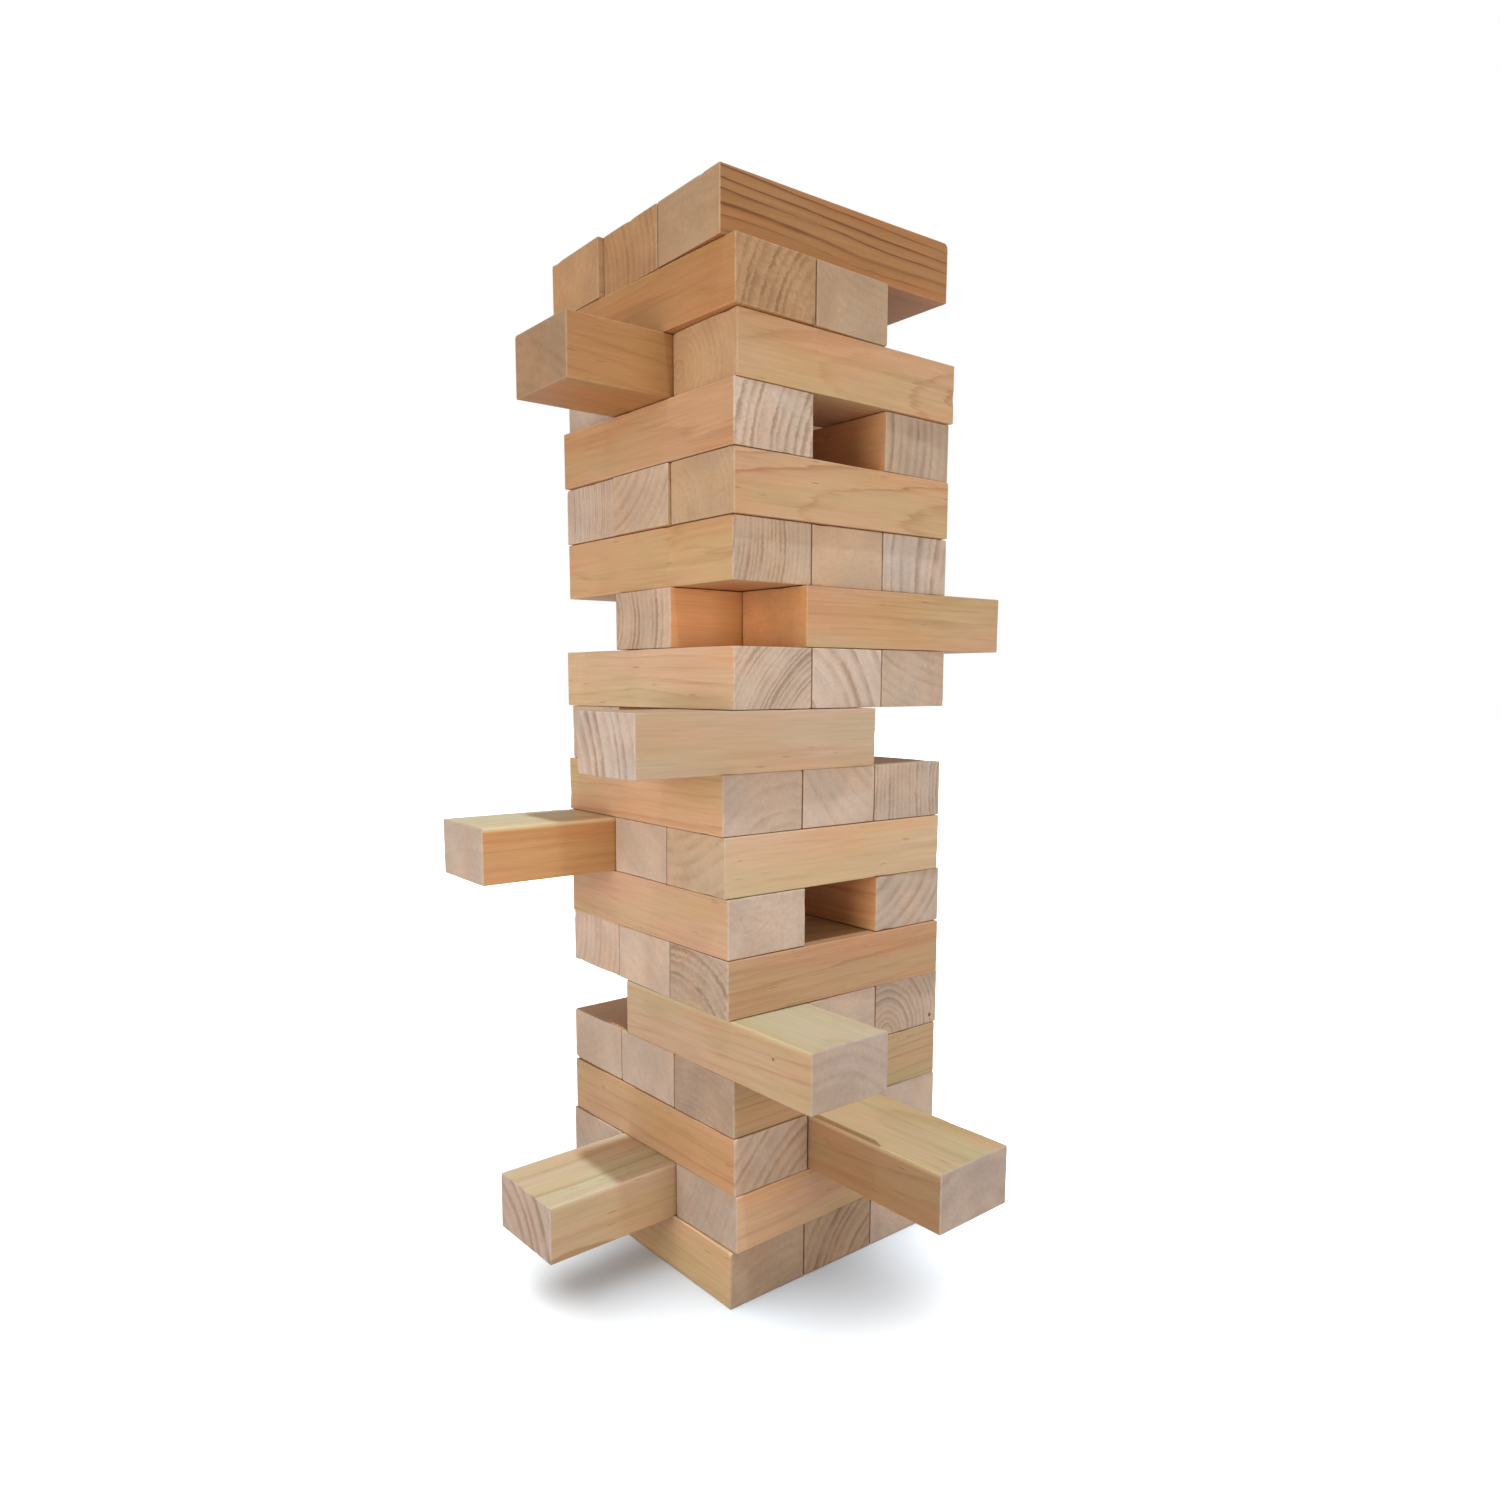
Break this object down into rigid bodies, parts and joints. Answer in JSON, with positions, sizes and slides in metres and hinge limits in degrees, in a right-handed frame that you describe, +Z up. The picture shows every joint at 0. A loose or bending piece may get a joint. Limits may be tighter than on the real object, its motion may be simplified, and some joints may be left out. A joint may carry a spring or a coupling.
{
  "type": "giant tumbling tower game",
  "caption": "Tall tower of loose wooden blocks laid crosswise in levels, some pushed part way out or taken away, each free to slide out along its length.",
  "frame": {"origin": "on the ground at the centre of the bottom level, on the underside of its middle block", "axes": "+Z up. Even levels lie along Y and odd levels lie along X. The corner between the -Y side and the +X side is the one that faces the viewer in the picture."},
  "size_m": [0.3122, 0.3505, 0.6909],
  "materials": {
    "pine_honey": "sanded, unvarnished",
    "pine_amber": "sanded, unvarnished",
    "pine_cream": "sanded, unvarnished",
    "pine_rose": "sanded, unvarnished",
    "pine_brown": "sanded, unvarnished"
  },
  "bodies": {
    "base": {"level_01_middle": "pine_brown"},
    "level_18_left": {"level_18_left": "pine_honey"},
    "level_18_middle": {"level_18_middle": "pine_honey"},
    "level_18_right": {"level_18_right": "pine_brown"},
    "level_17_left": {"level_17_left": "pine_amber"},
    "level_17_middle": {"level_17_middle": "pine_honey"},
    "level_16_left": {"level_16_left": "pine_honey"},
    "level_16_middle": {"level_16_middle": "pine_amber"},
    "level_16_right": {"level_16_right": "pine_honey"},
    "level_15_left": {"level_15_left": "pine_honey"},
    "level_15_right": {"level_15_right": "pine_honey"},
    "level_14_left": {"level_14_left": "pine_rose"},
    "level_14_middle": {"level_14_middle": "pine_honey"},
    "level_14_right": {"level_14_right": "pine_honey"},
    "level_13_left": {"level_13_left": "pine_honey"},
    "level_13_middle": {"level_13_middle": "pine_honey"},
    "level_13_right": {"level_13_right": "pine_rose"},
    "level_12_middle": {"level_12_middle": "pine_amber"},
    "level_12_right": {"level_12_right": "pine_honey"},
    "level_11_left": {"level_11_left": "pine_cream"},
    "level_11_middle": {"level_11_middle": "pine_cream"},
    "level_11_right": {"level_11_right": "pine_honey"},
    "level_10_left": {"level_10_left": "pine_honey"},
    "level_10_right": {"level_10_right": "pine_rose"},
    "level_09_left": {"level_09_left": "pine_honey"},
    "level_09_middle": {"level_09_middle": "pine_honey"},
    "level_09_right": {"level_09_right": "pine_honey"},
    "level_08_left": {"level_08_left": "pine_amber"},
    "level_08_middle": {"level_08_middle": "pine_honey"},
    "level_08_right": {"level_08_right": "pine_cream"},
    "level_07_left": {"level_07_left": "pine_rose"},
    "level_07_right": {"level_07_right": "pine_honey"},
    "level_06_left": {"level_06_left": "pine_rose"},
    "level_06_middle": {"level_06_middle": "pine_honey"},
    "level_06_right": {"level_06_right": "pine_honey"},
    "level_05_left": {"level_05_left": "pine_cream"},
    "level_05_middle": {"level_05_middle": "pine_honey"},
    "level_05_right": {"level_05_right": "pine_honey"},
    "level_04_left": {"level_04_left": "pine_honey"},
    "level_04_middle": {"level_04_middle": "pine_honey"},
    "level_04_right": {"level_04_right": "pine_brown"},
    "level_03_left": {"level_03_left": "pine_honey"},
    "level_03_middle": {"level_03_middle": "pine_cream"},
    "level_03_right": {"level_03_right": "pine_honey"},
    "level_02_left": {"level_02_left": "pine_honey"},
    "level_02_middle": {"level_02_middle": "pine_cream"},
    "level_02_right": {"level_02_right": "pine_honey"},
    "level_01_left": {"level_01_left": "pine_honey"},
    "level_01_right": {"level_01_right": "pine_honey"}
  },
  "joints": [
    {"name": "lift_18_left", "type": "slide", "parent": "base", "child": "level_18_left", "axis": [0, 0, 1], "range_m": [0, 0.08]},
    {"name": "lift_18_middle", "type": "slide", "parent": "base", "child": "level_18_middle", "axis": [0, 0, 1], "range_m": [0, 0.08]},
    {"name": "lift_18_right", "type": "slide", "parent": "base", "child": "level_18_right", "axis": [0, 0, 1], "range_m": [0, 0.08]},
    {"name": "push_16_middle", "type": "slide", "parent": "base", "child": "level_16_middle", "axis": [0.0044, 1, 0], "range_m": [-0.1355, 0.2855]},
    {"name": "push_14_middle", "type": "slide", "parent": "base", "child": "level_14_middle", "axis": [0, 1, 0], "range_m": [-0.2085, 0.2125]},
    {"name": "push_12_right", "type": "slide", "parent": "base", "child": "level_12_right", "axis": [0, 1, 0], "range_m": [-0.2695, 0.1515]},
    {"name": "push_10_right", "type": "slide", "parent": "base", "child": "level_10_right", "axis": [0.0087, 1, 0], "range_m": [-0.1395, 0.2815]},
    {"name": "push_08_left", "type": "slide", "parent": "base", "child": "level_08_left", "axis": [0.0262, 0.9997, 0], "range_m": [-0.1105, 0.3105]},
    {"name": "push_05_left", "type": "slide", "parent": "base", "child": "level_05_left", "axis": [1, 0.0044, 0], "range_m": [-0.2815, 0.1395]},
    {"name": "push_03_middle", "type": "slide", "parent": "base", "child": "level_03_middle", "axis": [0.9999, 0.0131, 0], "range_m": [-0.3225, 0.0985]},
    {"name": "push_02_middle", "type": "slide", "parent": "base", "child": "level_02_middle", "axis": [-0.0262, 0.9997, 0], "range_m": [-0.1125, 0.3085]},
    {"name": "push_17_left", "type": "slide", "parent": "base", "child": "level_17_left", "axis": [0.9998, 0.0218, 0], "range_m": [-0.2105, 0.2105]},
    {"name": "push_17_middle", "type": "slide", "parent": "base", "child": "level_17_middle", "axis": [0.9998, 0.0218, 0], "range_m": [-0.2105, 0.2105]},
    {"name": "push_16_left", "type": "slide", "parent": "base", "child": "level_16_left", "axis": [0.0044, 1, 0], "range_m": [-0.2105, 0.2105]},
    {"name": "push_16_right", "type": "slide", "parent": "base", "child": "level_16_right", "axis": [0.0044, 1, 0], "range_m": [-0.2105, 0.2105]},
    {"name": "push_15_left", "type": "slide", "parent": "base", "child": "level_15_left", "axis": [0.9999, 0.0131, 0], "range_m": [-0.2105, 0.2105]},
    {"name": "push_15_right", "type": "slide", "parent": "base", "child": "level_15_right", "axis": [0.9999, 0.0131, 0], "range_m": [-0.2105, 0.2105]},
    {"name": "push_14_left", "type": "slide", "parent": "base", "child": "level_14_left", "axis": [0, 1, 0], "range_m": [-0.2105, 0.2105]},
    {"name": "push_14_right", "type": "slide", "parent": "base", "child": "level_14_right", "axis": [0, 1, 0], "range_m": [-0.2105, 0.2105]},
    {"name": "push_13_left", "type": "slide", "parent": "base", "child": "level_13_left", "axis": [1, 0, 0], "range_m": [-0.2105, 0.2105]},
    {"name": "push_13_middle", "type": "slide", "parent": "base", "child": "level_13_middle", "axis": [1, 0, 0], "range_m": [-0.2105, 0.2105]},
    {"name": "push_13_right", "type": "slide", "parent": "base", "child": "level_13_right", "axis": [1, 0, 0], "range_m": [-0.2105, 0.2105]},
    {"name": "push_12_middle", "type": "slide", "parent": "base", "child": "level_12_middle", "axis": [0, 1, 0], "range_m": [-0.2105, 0.2105]},
    {"name": "push_11_left", "type": "slide", "parent": "base", "child": "level_11_left", "axis": [0.9999, 0.0131, 0], "range_m": [-0.2105, 0.2105]},
    {"name": "push_11_middle", "type": "slide", "parent": "base", "child": "level_11_middle", "axis": [0.9999, 0.0131, 0], "range_m": [-0.2105, 0.2105]},
    {"name": "push_11_right", "type": "slide", "parent": "base", "child": "level_11_right", "axis": [0.9999, 0.0131, 0], "range_m": [-0.2105, 0.2105]},
    {"name": "push_10_left", "type": "slide", "parent": "base", "child": "level_10_left", "axis": [0.0087, 1, 0], "range_m": [-0.2105, 0.2105]},
    {"name": "push_09_left", "type": "slide", "parent": "base", "child": "level_09_left", "axis": [0.9997, -0.0262, 0], "range_m": [-0.2105, 0.2105]},
    {"name": "push_09_middle", "type": "slide", "parent": "base", "child": "level_09_middle", "axis": [0.9997, -0.0262, 0], "range_m": [-0.2105, 0.2105]},
    {"name": "push_09_right", "type": "slide", "parent": "base", "child": "level_09_right", "axis": [0.9997, -0.0262, 0], "range_m": [-0.2105, 0.2105]},
    {"name": "push_08_middle", "type": "slide", "parent": "base", "child": "level_08_middle", "axis": [0.0262, 0.9997, 0], "range_m": [-0.2105, 0.2105]},
    {"name": "push_08_right", "type": "slide", "parent": "base", "child": "level_08_right", "axis": [0.0262, 0.9997, 0], "range_m": [-0.2105, 0.2105]},
    {"name": "push_07_left", "type": "slide", "parent": "base", "child": "level_07_left", "axis": [0.9999, -0.0131, 0], "range_m": [-0.2105, 0.2105]},
    {"name": "push_07_right", "type": "slide", "parent": "base", "child": "level_07_right", "axis": [0.9999, -0.0131, 0], "range_m": [-0.2105, 0.2105]},
    {"name": "push_06_left", "type": "slide", "parent": "base", "child": "level_06_left", "axis": [0.0218, 0.9998, 0], "range_m": [-0.2105, 0.2105]},
    {"name": "push_06_middle", "type": "slide", "parent": "base", "child": "level_06_middle", "axis": [0.0218, 0.9998, 0], "range_m": [-0.2105, 0.2105]},
    {"name": "push_06_right", "type": "slide", "parent": "base", "child": "level_06_right", "axis": [0.0218, 0.9998, 0], "range_m": [-0.2105, 0.2105]},
    {"name": "push_05_middle", "type": "slide", "parent": "base", "child": "level_05_middle", "axis": [1, 0.0044, 0], "range_m": [-0.2105, 0.2105]},
    {"name": "push_05_right", "type": "slide", "parent": "base", "child": "level_05_right", "axis": [1, 0.0044, 0], "range_m": [-0.2105, 0.2105]},
    {"name": "push_04_left", "type": "slide", "parent": "base", "child": "level_04_left", "axis": [-0.0044, 1, 0], "range_m": [-0.2105, 0.2105]},
    {"name": "push_04_middle", "type": "slide", "parent": "base", "child": "level_04_middle", "axis": [-0.0044, 1, 0], "range_m": [-0.2105, 0.2105]},
    {"name": "push_04_right", "type": "slide", "parent": "base", "child": "level_04_right", "axis": [-0.0044, 1, 0], "range_m": [-0.2105, 0.2105]},
    {"name": "push_03_left", "type": "slide", "parent": "base", "child": "level_03_left", "axis": [0.9999, 0.0131, 0], "range_m": [-0.2105, 0.2105]},
    {"name": "push_03_right", "type": "slide", "parent": "base", "child": "level_03_right", "axis": [0.9999, 0.0131, 0], "range_m": [-0.2105, 0.2105]},
    {"name": "push_02_left", "type": "slide", "parent": "base", "child": "level_02_left", "axis": [-0.0262, 0.9997, 0], "range_m": [-0.2105, 0.2105]},
    {"name": "push_02_right", "type": "slide", "parent": "base", "child": "level_02_right", "axis": [-0.0262, 0.9997, 0], "range_m": [-0.2105, 0.2105]},
    {"name": "push_01_left", "type": "slide", "parent": "base", "child": "level_01_left", "axis": [1, 0, 0], "range_m": [-0.2105, 0.2105]},
    {"name": "push_01_right", "type": "slide", "parent": "base", "child": "level_01_right", "axis": [1, 0, 0], "range_m": [-0.2105, 0.2105]}
  ]
}
